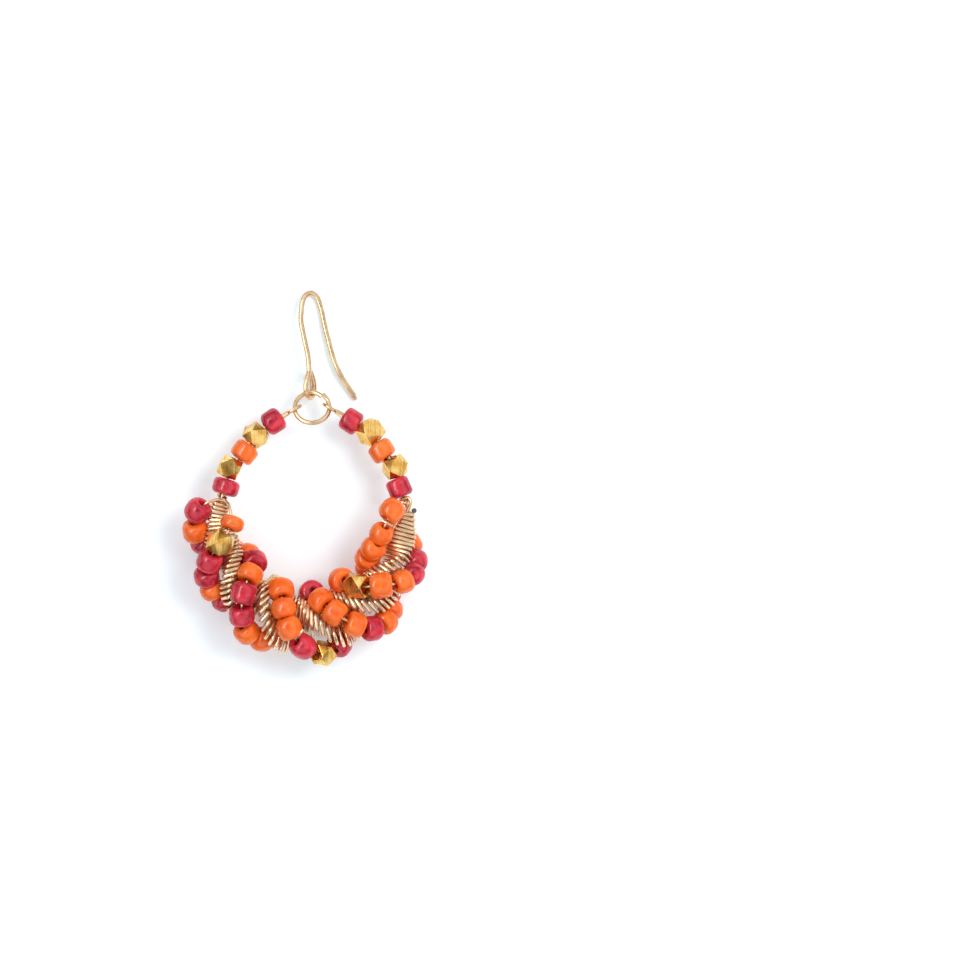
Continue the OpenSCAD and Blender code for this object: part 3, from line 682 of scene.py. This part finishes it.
# The strings' beads that lie a little off their places: to the right, up the paper, tilt of their far end
# towards the eye, size, and added length.
posed = {
    ("string_one", 7): (0, 0, -0.25, 1, 0), ("string_one", 16): (0, 0, -0.25, 1, 0),
    ("string_one", 26): (0.4, 0, 0, 1, 0), ("string_one", 27): (0.1, 0.1, 0.35, 1, 0.3),
    ("string_one", 28): (0.1, 0.1, 0.5, 0.93, 0.2), ("string_one", 29): (0, 0.5, -0.6, 0.97, 0.3),
    ("string_two", 1): (0, 0, 0, 0.97, -0.8), ("string_two", 10): (0, 0, -0.3, 1, 0),
    ("string_two", 13): (0, 0, -0.45, 1, 0), ("string_two", 19): (0, 0, -0.3, 1, 0),
    ("string_two", 22): (0.25, 0, 0, 0.95, 0), ("string_two", 23): (-0.1, -0.1, 0, 0.88, 0),
    ("string_two", 24): (-0.3, 0, 0, 0.88, 0), ("string_two", 25): (-0.75, 0, 0, 1, 0),
    ("string_two", 26): (-0.6, 0, 0, 0.95, 0),
}
# The strings' beads are copies of two, one squarer and one that the polish left rounder. Each is lengthened
# to fill the room to its neighbours.
blank_d, blank_length, swell = 4.0, 2.2, 1.03
ease, least_added, most_added = 0.1, 0.2, 0.8
squarer = bead_blank(blank_d, blank_length, 0.5)
rounder = bead_blank(blank_d, blank_length, 0.64, 0.25)
round_ones = {"string_one": (1, 12, 27, 28, 29), "string_two": (1, 5, 11, 12, 13, 22, 23, 24)}
for string, rows, kind in (("string_one", string_one, orange), ("string_one", string_one, burgundy),
                           ("string_two", string_two, orange), ("string_two", string_two, burgundy)):
    copies = []
    for k, (along, angle, lift, what, d, length) in enumerate(rows):
        if what != kind:
            continue
        place = on_string(rows, k)
        room = min((place - on_string(rows, n)).length - (length + rows[n][5]) / 2 for n in (k - 1, k + 1))
        right, up, tilt, scale, added = posed.get((string, k), (0, 0, 0, 1, 0))
        place += Vector((right, up, 0))
        way = (string_heading(rows, k) + Vector((0, 0, tilt))).normalized()
        across = d / blank_d * swell * scale
        along_it = (length + min(max(room - ease, least_added), most_added) + added) / blank_length
        size = Matrix.Diagonal((across, across, along_it, 1))
        blank = rounder if k in round_ones[string] else squarer
        copies.append(copy_of(blank, threaded(place, way, 35 * k) @ size))
    piece = string_of_beads(f"{string}_{kind}_glass", copies, *glass[kind])
    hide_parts(f"{string}_{kind}")
bpy.data.objects.remove(squarer)
bpy.data.objects.remove(rounder)

# Gold nuggets
# Small cast brass cubes with their corners filed off by hand and a wide hole, then gilded: the file's
# strokes show as dark scratches, drawn a little coarser than they are so that they show.
cast_gold, tree, shader = new_material("gilded cast brass")
place = node(tree, "TexCoord").outputs["Object"]
cloud = node(tree, "TexNoise", {"Vector": place, "Scale": 1 / (1.8 * mm), "Detail": 4})
patch = node(tree, "MapRange", {"Value": cloud.outputs["Fac"], "From Min": 0.38, "From Max": 0.62})
tint = node(tree, "Mix", {"Factor": patch.outputs["Result"], "A": linear("#e3aa4e"), "B": linear("#ffd884")},
            data_type="RGBA")
strokes = node(tree, "TexNoise", {"Vector": node(tree, "Mapping", {
    "Vector": place, "Rotation": (0.4, 0.3, 0.9), "Scale": (1 / (0.36 * mm), 1 / (2.8 * mm), 1 / (2.8 * mm))
}).outputs["Vector"], "Scale": 1.0, "Detail": 4, "Roughness": 0.65})
groove = node(tree, "MapRange", {"Value": strokes.outputs["Fac"], "From Min": 0.52, "From Max": 0.4,
                                 "To Max": 0.35})
tint = node(tree, "Mix", {"Factor": groove.outputs["Result"], "A": tint.outputs["Result"],
                          "B": linear("#7d5a18")}, data_type="RGBA")
tree.links.new(tint.outputs["Result"], shader.inputs["Base Color"])
shader.inputs["Metallic"].default_value = 1
dull = node(tree, "MapRange", {"Value": cloud.outputs["Fac"], "To Min": 0.14, "To Max": 0.34})
tree.links.new(dull.outputs["Result"], shader.inputs["Roughness"])
bump = node(tree, "Bump", {"Height": strokes.outputs["Fac"], "Strength": 0.25, "Distance": 0.12 * mm})
tree.links.new(bump.outputs["Normal"], shader.inputs["Normal"])

filed = random.Random(9)
corner_share, uneven_corner, soft_edge = 0.46, 0.13, 0.09


def nugget_blank(side, length, bore):
    """One drilled nugget standing on its end at the origin."""
    deselect()
    bpy.ops.mesh.primitive_cylinder_add(vertices=32, radius=bore / 2 * mm, depth=8 * mm)
    drill = bpy.context.object
    bpy.ops.mesh.primitive_cube_add(size=1)
    blank = bpy.context.object
    blank.data.transform(Matrix.Diagonal((side * mm, side * mm, length * mm, 1)))
    bpy.ops.object.mode_set(mode="EDIT")
    bpy.ops.mesh.select_all(action="SELECT")
    bpy.ops.mesh.bevel(offset=corner_share * side * mm, affect="VERTICES")
    bpy.ops.mesh.remove_doubles(threshold=0.01 * mm)
    mesh = bmesh.from_edit_mesh(blank.data)
    for corner in mesh.verts:
        corner.co += Vector([filed.uniform(-uneven_corner, uneven_corner) for axis in range(3)]) * mm
    bmesh.update_edit_mesh(blank.data)
    bpy.ops.object.mode_set(mode="OBJECT")
    hole = blank.modifiers.new("hole", "BOOLEAN")
    hole.object = drill
    hole.operation = "DIFFERENCE"
    bpy.ops.object.modifier_apply(modifier=hole.name)
    bpy.data.objects.remove(drill)
    soft = blank.modifiers.new("soft edges", "BEVEL")
    soft.width = soft_edge * mm
    soft.segments = 3
    soft.limit_method = "ANGLE"
    soft.angle_limit = math.radians(25)
    bpy.ops.object.modifier_apply(modifier=soft.name)
    return blank


# How each nugget lies on its wire: its turn, with a flat face up at 0, added length, bore and the tilt of
# its far end towards the eye.
nugget_poses = {
    "bead_left_2": (-23, 0, 1.4, 0), "bead_left_4": (0, 0, 1.4, -0.14),
    "bead_right_2": (22, 0, 1.4, 0), "bead_right_4": (20, 0.1, 1.4, 0.28),
    "nugget_one": (57, 0.2, 1.4, 0), "nugget_two": (20, 0.2, 1.4, 0),
    "nugget_three": (20, 0.3, 1.9, -0.3), "nugget_four": (12, 0.6, 2.0, 0.45),
}
nuggets = []
for side, rows in upper_beads.items():
    for k, (along, outwards, kind, across, length) in enumerate(rows):
        if kind == nugget:
            place = beside(along, 0, outwards, 0)
            nuggets.append((f"bead_{side}_{k + 1}", place, heading(along), across, length))
strung = [k for k, row in enumerate(string_two) if row[3] == nugget]
for name, k in zip(("nugget_one", "nugget_two", "nugget_three", "nugget_four"), strung):
    nuggets.append((name, on_string(string_two, k), string_heading(string_two, k), *string_two[k][4:]))
for name, place, way, across, length in nuggets:
    turn, longer, bore, tilt = nugget_poses[name]
    piece = nugget_blank(across, length + longer, bore)
    piece.name = name + "_gilded"
    piece.data.transform(threaded(place, (way + Vector((0, 0, tilt))).normalized(), turn))
    deselect()
    piece.select_set(True)
    bpy.context.view_layer.objects.active = piece
    bpy.ops.object.shade_smooth_by_angle(angle=math.radians(20))
    piece.data.materials.append(cast_gold)
    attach(piece, "root")
    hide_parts(name)
